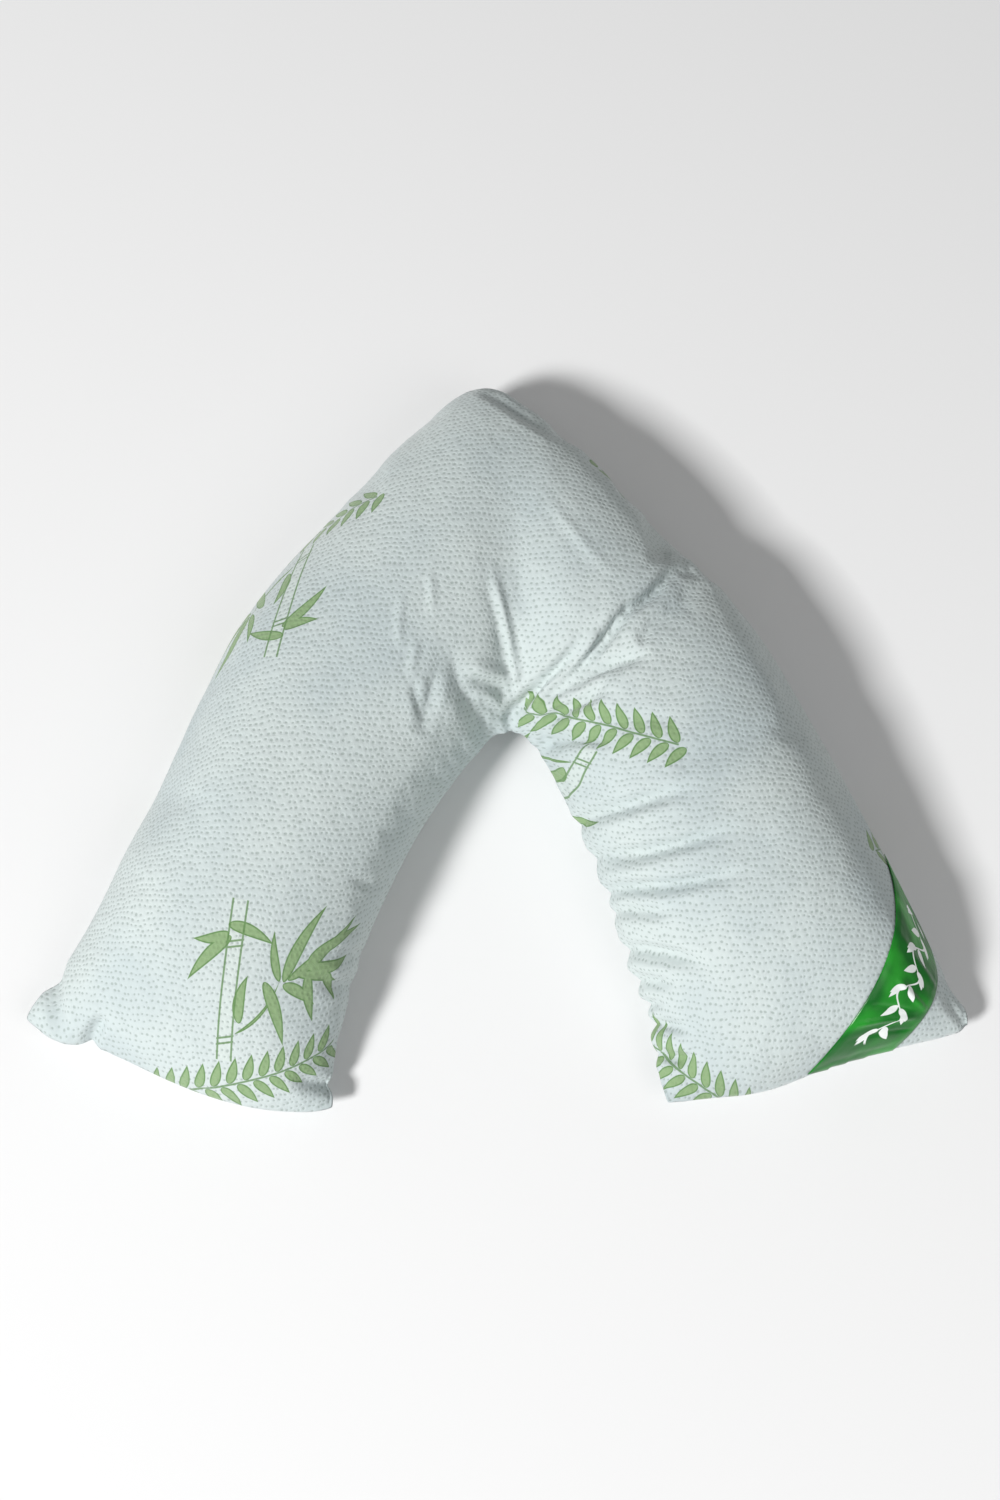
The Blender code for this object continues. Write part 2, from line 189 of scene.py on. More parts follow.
# Cover, creased. These are the folds that the knit has where the legs bend at the crotch, the puckers
# along the right leg's inner seam and the soft ones in the left leg, each along points in plan. A fold
# that stands up has a depth below zero.
Crease = namedtuple("Crease", "name depth width points")
creases = (
    Crease("crotch_first", 0.0115, 0.0046,
           ((0.008, 0.011), (0.022, 0.023), (0.040, 0.035), (0.058, 0.045), (0.085, 0.071))),
    Crease("crotch_ridge", -0.0046, 0.0040, ((0.040, 0.026), (0.062, 0.041), (0.085, 0.060), (0.100, 0.082))),
    Crease("crotch_second", 0.0088, 0.0042,
           ((0.046, 0.024), (0.067, 0.039), (0.087, 0.054), (0.105, 0.073), (0.126, 0.110))),
    Crease("crotch_thin", 0.0046, 0.0036, ((0.122, 0.096), (0.142, 0.110), (0.154, 0.125), (0.169, 0.148))),
    Crease("crotch_third", 0.0060, 0.0050,
           ((0.043, 0.019), (0.067, 0.026), (0.089, 0.040), (0.118, 0.046), (0.152, 0.045))),
    Crease("crotch_fourth", 0.0052, 0.0052, ((0.036, 0.002), (0.058, 0.004), (0.078, 0.011), (0.117, 0.015))),
    Crease("seam_pleat", 0.0054, 0.0045,
           ((0.042, -0.013), (0.067, -0.022), (0.094, -0.028), (0.117, -0.039))),
    Crease("row_fold", 0.0020, 0.0060, ((0.111, -0.019), (0.139, -0.015), (0.172, -0.014))),
    Crease("left_hollow", 0.0050, 0.0090,
           ((-0.015, -0.001), (-0.033, 0.015), (-0.044, 0.038), (-0.049, 0.065))),
    Crease("shelf_edge", -0.0038, 0.0040, ((0.013, 0.042), (-0.013, 0.045), (-0.038, 0.039))),
    Crease("shelf_fold", 0.0038, 0.0040, ((-0.001, 0.031), (-0.019, 0.032), (-0.035, 0.031))),
    Crease("shelf_pleat", 0.0022, 0.0036, ((-0.003, 0.012), (-0.015, 0.015), (-0.024, 0.019))),
    Crease("long_ridge", -0.0044, 0.0036,
           ((0.015, 0.043), (0.009, 0.069), (0.002, 0.095), (-0.006, 0.124), (-0.011, 0.150))),
    Crease("left_ridge_1", -0.0018, 0.0032, ((-0.068, 0.096), (-0.067, 0.118), (-0.072, 0.136))),
    Crease("left_ridge_2", -0.0018, 0.0032, ((-0.098, 0.064), (-0.100, 0.085), (-0.094, 0.114))),
    Crease("left_ridge_3", -0.0022, 0.0034, ((-0.087, 0.036), (-0.084, 0.050), (-0.080, 0.066))),
    Crease("left_pleat_1", 0.0036, 0.0046,
           ((-0.076, -0.016), (-0.071, 0.004), (-0.065, 0.024), (-0.060, 0.048))),
    Crease("left_pleat_2", 0.0028, 0.0036, ((-0.079, -0.004), (-0.082, 0.012), (-0.083, 0.026))),
    Crease("apex_ridge", -0.0014, 0.0045, ((0.052, 0.203), (0.072, 0.174), (0.097, 0.144), (0.117, 0.122))),
    Crease("apex_seam_fold", 0.0040, 0.0060, ((-0.012, 0.350), (0.036, 0.306), (0.079, 0.287))),
    Crease("pucker_1", 0.0068, 0.0055,
           ((0.079, -0.096), (0.099, -0.094), (0.122, -0.093), (0.154, -0.086), (0.189, -0.079))),
    Crease("pucker_2", 0.0078, 0.0055,
           ((0.092, -0.130), (0.119, -0.138), (0.151, -0.136), (0.183, -0.130), (0.230, -0.115))),
    Crease("pucker_3", 0.0078, 0.0050,
           ((0.101, -0.164), (0.135, -0.168), (0.167, -0.170), (0.203, -0.164), (0.242, -0.159))),
    Crease("pucker_4", 0.0052, 0.0048, ((0.108, -0.183), (0.119, -0.185), (0.138, -0.191), (0.167, -0.197))),
    Crease("pucker_5", 0.0078, 0.0050,
           ((0.114, -0.218), (0.129, -0.222), (0.146, -0.227), (0.168, -0.233), (0.198, -0.246))),
    Crease("pucker_6", 0.0064, 0.0045, ((0.123, -0.246), (0.132, -0.249), (0.150, -0.255), (0.169, -0.260))),
    Crease("pucker_7", 0.0055, 0.0042, ((0.131, -0.268), (0.141, -0.272), (0.156, -0.276))),
    Crease("pucker_8", 0.0064, 0.0045, ((0.138, -0.287), (0.148, -0.291), (0.163, -0.295), (0.183, -0.303))),
    Crease("pucker_9", 0.0052, 0.0042, ((0.147, -0.318), (0.160, -0.322), (0.173, -0.325), (0.193, -0.326))),
    Crease("right_crown_1", 0.0024, 0.0090,
           ((0.174, -0.057), (0.201, -0.046), (0.233, -0.030), (0.265, -0.005))),
    Crease("right_crown_2", 0.0018, 0.0120, ((0.212, -0.152), (0.242, -0.135), (0.270, -0.121))),
    Crease("right_corner_1", 0.0028, 0.0046, ((0.452, -0.288), (0.434, -0.271), (0.423, -0.251))),
    Crease("right_corner_2", 0.0020, 0.0040, ((0.447, -0.268), (0.434, -0.250), (0.421, -0.240))),
    Crease("left_inner_1", 0.0030, 0.0060, ((-0.146, -0.252), (-0.160, -0.256), (-0.180, -0.262))),
    Crease("left_inner_2", 0.0022, 0.0050, ((-0.138, -0.222), (-0.154, -0.228), (-0.176, -0.240))),
    Crease("left_inner_3", 0.0038, 0.0050, ((-0.158, -0.346), (-0.178, -0.348), (-0.206, -0.344))),
    Crease("left_ear_fold", 0.0050, 0.0060, ((-0.434, -0.238), (-0.434, -0.272), (-0.424, -0.306))),
    Crease("left_ear_crease", 0.0050, 0.0045, ((-0.404, -0.312), (-0.392, -0.295), (-0.374, -0.284))),
    Crease("left_side_hollow", 0.0060, 0.0300, ((-0.292, 0.030), (-0.330, -0.060), (-0.350, -0.150))),
)
fade_out, fade_in = 0.45, 0.25  # shares of a crease's length over which it dies away and begins
crease_start = 0.6  # the share of its depth that a crease has at its first point
crease_shoulder = 0.30  # how much the knit stands up on both sides of a crease


def points_of(data):
    co = np.zeros(len(data.vertices) * 3, np.float32)
    data.vertices.foreach_get("co", co)
    return co.reshape(-1, 3).astype(float)


def normals_of(data):
    normals = np.zeros(len(data.vertices) * 3, np.float32)
    data.vertex_normals.foreach_get("vector", normals)
    return normals.reshape(-1, 3)


def put_points(data, points):
    """Moves the mesh's points to these places, none of them below the floor."""
    points[:, 2] = np.maximum(points[:, 2], 0)
    data.vertices.foreach_set("co", points.ravel())
    data.update()


def rounded_line(points):
    """The line through the points with its corners cut off three times over."""
    line = np.array(points)
    for _ in range(3):
        a, b = line[:-1], line[1:]
        cut = np.stack([a * 0.75 + b * 0.25, a * 0.25 + b * 0.75], axis=1).reshape(-1, 2)
        line = np.vstack([line[:1], cut, line[-1:]])
    return line


def crease_depth(plan, widen):
    """How far the creases press the knit in at each point in plan, all of them widened so many times."""
    depth = np.zeros(len(plan))
    for crease in creases:
        line = rounded_line(crease.points)
        gone = lengths_along(line)
        width = crease.width * widen
        reach = 5 * width
        close = np.flatnonzero(((plan > line.min(0) - reach) & (plan < line.max(0) + reach)).all(axis=1))
        here = plan[close]
        near, along = np.full(len(here), 9.0), np.zeros(len(here))
        for a, b, start, stop in zip(line, line[1:], gone, gone[1:]):
            t = np.clip(((here - a) @ (b - a)) / ((b - a) @ (b - a)), 0, 1)
            away = np.linalg.norm(here - a - t[:, None] * (b - a), axis=1)
            along = np.where(away < near, (start + t * (stop - start)) / gone[-1], along)
            near = np.minimum(near, away)
        fade = np.clip((1 - along) / fade_out, 0, 1)
        begin = np.clip(crease_start + along * (1 - crease_start) / fade_in, 0, 1)
        fade = fade * fade * (3 - 2 * fade) * begin
        trough = 0.5 * np.exp(-near / width) + 0.5 * np.exp(-((near / width) ** 2))
        shoulder = np.exp(-(((near - 2.4 * width) / width) ** 2))
        depth[close] += crease.depth * fade * (trough - crease_shoulder * shoulder)
    return depth


def press_creases(piece, share, widen):
    """Presses the creases into the front of the piece, along its normals."""
    points, normals = points_of(piece.data), normals_of(piece.data)
    facing = np.clip(1 + normals[:, 2], 0, 1) * (points[:, 2] > 0)
    points -= normals * (crease_depth(points[:, 0:2], widen) * facing * share)[:, None]
    put_points(piece.data, points)


press_creases(cover, share=0.5, widen=2.2)


# Cover, settled. The knit is let go over its filling: it is wider in the flat than the filled shape,
# so that it puckers along the seams and folds in the crotch of the V.
settle_frames = 20
settle_cap = 0.010
knit_slack, seam_gather = 0.025, 0.07  # shares of its length that the knit is longer and the seam shorter
seam_squares = 3
filling_pressure = 3.5
outline_squares = 9  # puckers shorter than this stay in the outline, and the rest of it keeps its line
left_slack, left_gather = 0.22, 0.45  # the left leg is drawn up less, inside it and on its seams
leg_change, leg_blend = 0.40, 0.12  # where along the grid the left leg gives way to the right one


def seam_drift(grid, move):
    """How far the outline as a whole has moved at each point, from the seams' own smoothed moves."""
    window = np.exp(-0.5 * (np.arange(-3 * outline_squares, 3 * outline_squares + 1) / outline_squares) ** 2)
    window /= window.sum()
    sides = []
    for j in (0, grid_across):
        on_seam = np.flatnonzero(grid[:, 1] == j)
        on_seam = on_seam[np.argsort(grid[on_seam, 0])]
        known = grid[on_seam, 0]
        line = np.stack([np.interp(range(grid_along + 1), known, move[on_seam, k]) for k in (0, 1)], axis=1)
        padded = np.pad(line, ((3 * outline_squares, 3 * outline_squares), (0, 0)), mode="edge")
        sides.append(np.stack([np.convolve(padded[:, k], window, mode="valid") for k in (0, 1)], axis=1))
    i = grid[:, 0].round().astype(int)
    across = grid[:, 1, None] / grid_across
    return sides[0][i] * (1 - across) + sides[1][i] * across


def settle(piece):
    """Lets the knit go with a short cloth simulation, and keeps the outline where it was."""
    start = points_of(piece.data)
    seam = piece.vertex_groups.new(name="seam")
    grid = np.array([point.vector for point in piece.data.attributes["grid"].data])
    for k, (i, j, _) in enumerate(grid):
        off = min(i, grid_along - i, j, grid_across - j)
        right = min(1.0, max(0.0, (i / grid_along - leg_change) / leg_blend))
        gather = left_gather + (1 - left_gather) * right * (j / grid_across)
        weight = max(0.0, 1 - off / seam_squares) * gather
        seam.add([k], max(weight, left_slack * (1 - right)), "REPLACE")
    cloth = piece.modifiers.new("settle", "CLOTH")
    knit = cloth.settings
    knit.vertex_group_shrink = "seam"
    knit.shrink_min = -knit_slack
    knit.shrink_max = seam_gather
    knit.quality = 6
    knit.mass = 0.02
    knit.tension_stiffness = 12
    knit.compression_stiffness = 12
    knit.shear_stiffness = 6
    knit.bending_stiffness = 0.01
    knit.use_pressure = True
    knit.uniform_pressure_force = filling_pressure
    knit.effector_weights.gravity = 0
    cloth.collision_settings.use_collision = False
    for number in range(1, settle_frames + 1):
        bpy.context.scene.frame_set(number)
    evaluated = piece.evaluated_get(bpy.context.evaluated_depsgraph_get())
    settled = points_of(evaluated.data)
    piece.modifiers.remove(cloth)
    bpy.context.scene.frame_set(1)
    move = settled - start
    length = np.linalg.norm(move, axis=1, keepdims=True)
    move *= np.minimum(1, settle_cap / np.maximum(length, 1e-9))
    settled = start + move
    settled[:, 0:2] -= seam_drift(grid, move)
    put_points(piece.data, settled)


# Small pulls on the filled cover's outline: the left leg's ear hangs out, and the corner tips are blunt.
Pull = namedtuple("Pull", "name x y move_x move_y radius")
pulls = (
    Pull("left_ear", -0.436, -0.302, -0.001, -0.013, 0.026),
    Pull("left_ear_tip", -0.456, -0.268, -0.005, 0.002, 0.018),
    Pull("left_foot_inside", -0.158, -0.335, -0.008, 0.000, 0.040),
    Pull("right_foot_inside", 0.140, -0.282, 0.006, 0.000, 0.034),
    Pull("right_foot_end", 0.255, -0.345, 0.001, -0.007, 0.050),
    Pull("right_tip", 0.466, -0.294, -0.008, 0.002, 0.012),
)


def pull_outline(piece):
    points = points_of(piece.data)
    move = np.zeros((len(points), 2))
    for pull in pulls:
        away = np.linalg.norm(points[:, 0:2] - (pull.x, pull.y), axis=1)
        move += np.exp(-((away / pull.radius) ** 2))[:, None] * (pull.move_x, pull.move_y)
    points[:, 0:2] += move
    put_points(piece.data, points)


settle(cover)
pull_outline(cover)

# Each knit square becomes four, and the creases are pressed in once more at their own sharp width.
halving = cover.modifiers.new("halving", "SUBSURF")
halving.levels = halving.render_levels = 1
bpy.context.view_layer.update()
depsgraph = bpy.context.evaluated_depsgraph_get()
fine_data = bpy.data.meshes.new_from_object(
    cover.evaluated_get(depsgraph), preserve_all_data_layers=True, depsgraph=depsgraph
)
cover.modifiers.clear()
cover.data = fine_data
press_creases(cover, share=1.0, widen=1.0)

# The seam stands up as a thin edge with a stitched-down groove on both sides of it.
seam_edge, seam_groove = 0.0012, 0.0009


def raise_seam(piece):
    points, normals = points_of(piece.data), normals_of(piece.data)
    grid = np.zeros(len(points) * 3, np.float32)
    piece.data.attributes["grid"].data.foreach_get("vector", grid)
    i, j, _ = grid.reshape(-1, 3).T
    off = np.minimum(np.minimum(i, grid_along - i), np.minimum(j, grid_across - j))
    height = seam_edge * np.exp(-((off / 0.4) ** 2)) - seam_groove * np.exp(-(((off - 1) / 0.45) ** 2))
    points += normals * height[:, None]
    put_points(piece.data, points)


raise_seam(cover)


# Cover, its print. The knit is printed with sprigs of cane and leaves in soft green, each with a row of
# leaves under it, turned this way and that as the cloth was cut. Every face takes the coordinates of the
# sprig nearest to it, in metres from that sprig's middle. Where degrees is None the knit is left plain.
Sprig = namedtuple("Sprig", "face_way x y degrees")
sprigs = (
    Sprig(1, -0.256, -0.256, -8),
    Sprig(1, 0.050, -0.098, 146),
    Sprig(1, -0.040, -0.085, None),
    Sprig(1, -0.210, 0.130, 170),
    Sprig(1, 0.165, -0.432, 138),
    Sprig(1, 0.172, 0.382, -6),
    Sprig(1, 0.418, 0.004, 12),
    Sprig(1, 0.300, 0.055, None),
    Sprig(-1, 0.300, -0.180, 172),
    Sprig(-1, 0.225, 0.110, -12),
    Sprig(-1, -0.010, 0.200, 165),
    Sprig(-1, -0.200, 0.130, 8),
    Sprig(-1, -0.285, -0.150, 176),
)
blank_place = (2.0, 2.0)  # on the print's map, where nothing is printed


def map_print(data):
    """Writes the print's map: for every face, the coordinates of the nearest sprig."""
    cut = np.zeros(len(data.loops) * 2, np.float32)
    data.uv_layers["cut"].data.foreach_get("uv", cut)
    corners = cut.reshape(-1, 4, 2).astype(float)  # every face has four corners
    middles = corners.mean(axis=1)
    ways = np.zeros(len(data.polygons), np.int32)
    data.attributes["way"].data.foreach_get("value", ways)
    places = np.array([(sprig.x, sprig.y) for sprig in sprigs])
    distances = np.linalg.norm(middles[:, None] - places, axis=2)
    distances[ways[:, None] != np.array([sprig.face_way for sprig in sprigs])] = 9
    nearest = distances.argmin(axis=1)
    printed = np.zeros_like(corners)
    for k, sprig in enumerate(sprigs):
        chosen = nearest == k
        if sprig.degrees is None:
            printed[chosen] = blank_place
        else:
            turn = np.array(Matrix.Rotation(math.radians(sprig.degrees), 2))
            printed[chosen] = (corners[chosen] - places[k]) @ turn
    data.uv_layers.new(name="print").data.foreach_set("uv", printed.ravel())


map_print(cover.data)


def add(tree, kind, values=(), **settings):
    """Adds a node to a tree, with the values or links of its inputs by name or number."""
    made = tree.nodes.new(kind)
    for name, value in settings.items():
        setattr(made, name, value)
    for key, value in dict(values).items():
        if isinstance(value, bpy.types.NodeSocket):
            tree.links.new(value, made.inputs[key])
        else:
            made.inputs[key].default_value = value
    return made


def maths(tree, operation, *values, clamp=False):
    """Adds a Math node and returns its result."""
    return add(tree, "ShaderNodeMath", enumerate(values), operation=operation, use_clamp=clamp).outputs[0]


def vector_maths(tree, operation, *values):
    """Adds a Vector Math node and returns its result."""
    return add(tree, "ShaderNodeVectorMath", enumerate(values), operation=operation).outputs[0]


def soft_step(tree, value, low, high):
    """0 below low and 1 above high, with a smooth change between them."""
    made = add(tree, "ShaderNodeMapRange", {"Value": value, "From Min": low, "From Max": high})
    made.interpolation_type = "SMOOTHSTEP"
    return made.outputs["Result"]


def new_group(name, inputs, outputs):
    """A new shader node group with these sockets; returns it with its two end nodes."""
    group = bpy.data.node_groups.new(name, "ShaderNodeTree")
    for label, kind, value in inputs:
        socket = group.interface.new_socket(label, in_out="INPUT", socket_type=kind)
        if value is not None:
            socket.default_value = value
    for label, kind in outputs:
        group.interface.new_socket(label, in_out="OUTPUT", socket_type=kind)
    return group, group.nodes.new("NodeGroupInput"), group.nodes.new("NodeGroupOutput")


def place_group(tree, group, values):
    """Adds a node group to a tree with these input values."""
    return add(tree, "ShaderNodeGroup", values, node_tree=group)


VALUE, VECTOR = "NodeSocketFloat", "NodeSocketVector"

# One leaf of the print: its depth is how far a point lies inside the leaf's edge, in metres.
leaf_group, into, out = new_group(
    "leaf",
    [("Vector", VECTOR, None), ("Root", VECTOR, (0, 0, 0)), ("Angle", VALUE, 0), ("Length", VALUE, 0.05),
     ("Width", VALUE, 0.01), ("Bend", VALUE, 0.0)],
    [("Depth", VALUE)],
)
leaf_maths = partial(maths, leaf_group)
turn_back = leaf_maths("MULTIPLY", into.outputs["Angle"], -1)
turned = add(
    leaf_group, "ShaderNodeVectorRotate",
    {"Vector": into.outputs["Vector"], "Center": into.outputs["Root"], "Angle": turn_back},
    rotation_type="Z_AXIS",
)
from_root = vector_maths(leaf_group, "SUBTRACT", turned.outputs[0], into.outputs["Root"])
axes = add(leaf_group, "ShaderNodeSeparateXYZ", {0: from_root})
share = leaf_maths("DIVIDE", axes.outputs["X"], into.outputs["Length"], clamp=True)
rest = leaf_maths("SUBTRACT", 1, share)
swell = leaf_maths("MULTIPLY", leaf_maths("SQRT", share), rest)
half_width = leaf_maths("MULTIPLY", leaf_maths("MULTIPLY", swell, into.outputs["Width"]), 1.3)
curve = leaf_maths("MULTIPLY", leaf_maths("MULTIPLY", share, rest), into.outputs["Bend"])
aside = leaf_maths("ABSOLUTE", leaf_maths("SUBTRACT", axes.outputs["Y"], curve))
leaf_group.links.new(leaf_maths("SUBTRACT", half_width, aside), out.inputs["Depth"])

# The whole sprig: its leaves, its cane drawn as two lines with double rings at the joints, and the row.
Leaf = namedtuple("Leaf", "x y degrees length width bend")
leaves = (
    Leaf(-0.006, 0.046, 198, 0.036, 0.011, 0.010),
    Leaf(-0.004, 0.044, 232, 0.060, 0.012, -0.010),
    Leaf(-0.008, 0.054, -14, 0.046, 0.012, 0.012),
    Leaf(0.012, -0.030, 84, 0.044, 0.012, 0.014),
    Leaf(0.032, 0.010, -66, 0.062, 0.013, 0.012),
    Leaf(0.009, -0.040, 56, 0.068, 0.004, -0.030),
    Leaf(0.046, 0.012, 104, 0.046, 0.009, 0.010),
    Leaf(0.050, 0.012, 68, 0.078, 0.012, 0.014),
    Leaf(0.054, 0.014, 46, 0.084, 0.011, -0.012),
    Leaf(0.070, 0.032, 30, 0.062, 0.012, 0.014),
    Leaf(0.068, 0.028, 6, 0.050, 0.013, -0.016),
    Leaf(0.060, 0.020, -12, 0.048, 0.010, 0.014),
    Leaf(0.050, 0.010, -28, 0.038, 0.012, 0.010),
    Leaf(0.072, 0.022, -74, 0.048, 0.011, -0.010),
    Leaf(0.084, 0.026, -58, 0.040, 0.010, 0.010),
)
cane_half_width, cane_half_length, cane_middle, line_width = 0.0068, 0.072, 0.006, 0.0013
cane_joints = (0.038, -0.047)
joint_slope, joint_gap = 0.30, 0.0026
row_start, row_degrees, row_pitch, row_count = (-0.066, -0.113, 0), 19, 0.0165, 12
row_leaf = Leaf(-row_pitch * 0.42, 0.0015, 58, 0.027, 0.0105, -0.005)
print_softness = 0.0007


def draw_leaf(tree, spot, leaf):
    """Adds one leaf of the print to a tree and returns its depth."""
    values = {"Vector": spot, "Root": (leaf.x, leaf.y, 0), "Angle": math.radians(leaf.degrees)}
    values.update({"Length": leaf.length, "Width": leaf.width, "Bend": leaf.bend})
    return place_group(tree, leaf_group, values).outputs["Depth"]


sprig_group, into, out = new_group(
    "cane sprig", [("Vector", VECTOR, None)], [("Fill", VALUE), ("Line", VALUE), ("Inside Cane", VALUE)]
)
sprig_maths, sprig_step = partial(maths, sprig_group), partial(soft_step, sprig_group)
spot = into.outputs["Vector"]
depths = [draw_leaf(sprig_group, spot, leaf) for leaf in leaves]
row_spot = vector_maths(sprig_group, "SUBTRACT", spot, row_start)
row_spot = add(
    sprig_group, "ShaderNodeVectorRotate",
    {"Vector": row_spot, "Angle": math.radians(-row_degrees)},
    rotation_type="Z_AXIS",
).outputs[0]
row_axes = add(sprig_group, "ShaderNodeSeparateXYZ", {0: row_spot})
for side in (1, -1):  # the leaves on one side stand half a pitch further along than on the other
    moved = sprig_maths("ADD", row_axes.outputs["X"], row_pitch * (0.25 + 0.25 * side))
    step = sprig_maths("FLOOR", sprig_maths("DIVIDE", moved, row_pitch))
    step = sprig_maths("MINIMUM", sprig_maths("MAXIMUM", step, 0), row_count - 1)
    leaf_middle = sprig_maths("MULTIPLY", sprig_maths("ADD", step, 0.5), row_pitch)
    row_x = sprig_maths("SUBTRACT", moved, leaf_middle)
    row_y = sprig_maths("MULTIPLY", row_axes.outputs["Y"], side)
    leaf_spot = add(sprig_group, "ShaderNodeCombineXYZ", {"X": row_x, "Y": row_y}).outputs[0]
    depths.append(draw_leaf(sprig_group, leaf_spot, row_leaf))
deepest = depths[0]
for depth in depths[1:]:
    deepest = sprig_maths("MAXIMUM", deepest, depth)
fill = sprig_step(deepest, 0, print_softness)
core = sprig_step(deepest, line_width, line_width + print_softness)
cane_axes = add(sprig_group, "ShaderNodeSeparateXYZ", {0: spot})
across, along = cane_axes.outputs["X"], cane_axes.outputs["Y"]
off_middle = sprig_maths("ABSOLUTE", sprig_maths("SUBTRACT", along, cane_middle))
cane_reach = sprig_step(off_middle, cane_half_length, cane_half_length - print_softness)
off_axis = sprig_maths("ABSOLUTE", across)
off_wall = sprig_maths("ABSOLUTE", sprig_maths("SUBTRACT", off_axis, cane_half_width))
wall = sprig_step(off_wall, line_width, line_width - print_softness)
wall = sprig_maths("MULTIPLY", wall, cane_reach)
within = sprig_step(off_axis, cane_half_width + 0.002, cane_half_width + 0.001)
for joint in cane_joints:
    level = sprig_maths("SUBTRACT", along, sprig_maths("MULTIPLY_ADD", across, joint_slope, joint))
    off_joint = sprig_maths("ABSOLUTE", level)
    off_ring = sprig_maths("ABSOLUTE", sprig_maths("SUBTRACT", off_joint, joint_gap))
    ring = sprig_step(off_ring, line_width, line_width - print_softness)
    ring = sprig_maths("MULTIPLY", ring, within)
    wall = sprig_maths("MAXIMUM", wall, ring)
row_half = row_pitch * row_count / 2
row_middle = sprig_maths("SUBTRACT", row_axes.outputs["X"], row_half)
row_reach = sprig_step(sprig_maths("ABSOLUTE", row_middle), row_half, row_half - print_softness)
off_stem = sprig_maths("ABSOLUTE", row_axes.outputs["Y"])
stem = sprig_step(off_stem, line_width, line_width - print_softness)
wall = sprig_maths("MAXIMUM", wall, sprig_maths("MULTIPLY", stem, row_reach))
sprig_group.links.new(fill, out.inputs["Fill"])
line = sprig_maths("MAXIMUM", wall, sprig_maths("SUBTRACT", fill, core))
sprig_group.links.new(line, out.inputs["Line"])
inside = sprig_maths("MULTIPLY", within, cane_reach)
sprig_group.links.new(inside, out.inputs["Inside Cane"])


# Cover, its knit. The pale double knit is tied down in rows of small dimples, about 6 mm apart and a
# little out of line, where its darker back shows through; between them it stands up softly.
dot_pitch = (0.0054, 0.0058)
dot_radius = 0.17
dot_jitter = 0.36
dot_stretch = 0.8  # each dimple is a little longer along its row
sway_scale, sway_reach = 34.0, 0.007  # how finely and how far the rows wander

dots_group, into, out = new_group(
    "knit dimples", [("Vector", VECTOR, None)], [("Dot", VALUE), ("Height", VALUE)]
)
dots_maths = partial(maths, dots_group)
spot = into.outputs["Vector"]
sway = add(
    dots_group, "ShaderNodeTexNoise",
    {"Vector": spot, "Scale": sway_scale, "Detail": 1.0},
    noise_dimensions="2D",
)
sway = vector_maths(dots_group, "SUBTRACT", sway.outputs["Color"], (0.5, 0.5, 0.5))
sway = add(dots_group, "ShaderNodeVectorMath", {0: sway, "Scale": sway_reach}, operation="SCALE").outputs[0]
counted = vector_maths(dots_group, "DIVIDE", vector_maths(dots_group, "ADD", spot, sway), (*dot_pitch, 1))
lattice = add(dots_group, "ShaderNodeSeparateXYZ", {0: counted})
row = dots_maths("FLOOR", lattice.outputs["Y"])
stagger = dots_maths("MULTIPLY", dots_maths("FLOORED_MODULO", row, 2), 0.5)
column_place = dots_maths("ADD", lattice.outputs["X"], stagger)
column = dots_maths("FLOOR", column_place)
cell = add(dots_group, "ShaderNodeCombineXYZ", {"X": column, "Y": row})
chance = add(dots_group, "ShaderNodeTexWhiteNoise", {"Vector": cell.outputs[0]}, noise_dimensions="2D")
chance_axes = add(dots_group, "ShaderNodeSeparateXYZ", {0: chance.outputs["Color"]})
off_axes = []
for place, whole, axis in ((column_place, column, "X"), (lattice.outputs["Y"], row, "Y")):
    off_centre = dots_maths("SUBTRACT", dots_maths("SUBTRACT", place, whole), 0.5)
    shift = dots_maths("MULTIPLY", dots_maths("SUBTRACT", chance_axes.outputs[axis], 0.5), dot_jitter)
    off_axes.append(dots_maths("SUBTRACT", off_centre, shift))
off = {"X": dots_maths("MULTIPLY", off_axes[0], dot_stretch), "Y": off_axes[1]}
off = add(dots_group, "ShaderNodeCombineXYZ", off).outputs[0]
away = add(dots_group, "ShaderNodeVectorMath", {0: off}, operation="LENGTH").outputs["Value"]
away = dots_maths("MULTIPLY", away, dots_maths("MULTIPLY_ADD", chance_axes.outputs["Z"], 0.5, 0.78))
dots_group.links.new(soft_step(dots_group, away, dot_radius * 1.45, dot_radius * 0.6), out.inputs["Dot"])
dots_group.links.new(soft_step(dots_group, away, 0.0, 0.5), out.inputs["Height"])

# The knit's second colour is painted shade: a darker, bluer copy of the knit.
knit_colour, knit_painted_shade_colour = (0.560, 0.622, 0.612, 1), (0.475, 0.545, 0.553, 1)
dot_colour = (0.255, 0.310, 0.285, 1)
print_colour, print_line_colour = (0.220, 0.345, 0.150, 1), (0.105, 0.215, 0.070, 1)
cane_colour = (0.590, 0.660, 0.615, 1)
cane_share, dot_share, print_share, line_share = 0.5, 0.6, 0.92, 0.85  # how much each covers the knit
dimple_relief, crumple_relief, stitch_relief = 0.0004, 0.0014, 0.00012


def mix(tree, factor, a, b):
    """Mixes two colours and returns the result: inputs 6 and 7 and output 2 are the node's colour sockets."""
    return add(tree, "ShaderNodeMix", {0: factor, 6: a, 7: b}, data_type="RGBA").outputs[2]


def new_material(name):
    made = bpy.data.materials.new(name)
    made.use_nodes = True
    return made, made.node_tree, made.node_tree.nodes["Principled BSDF"]


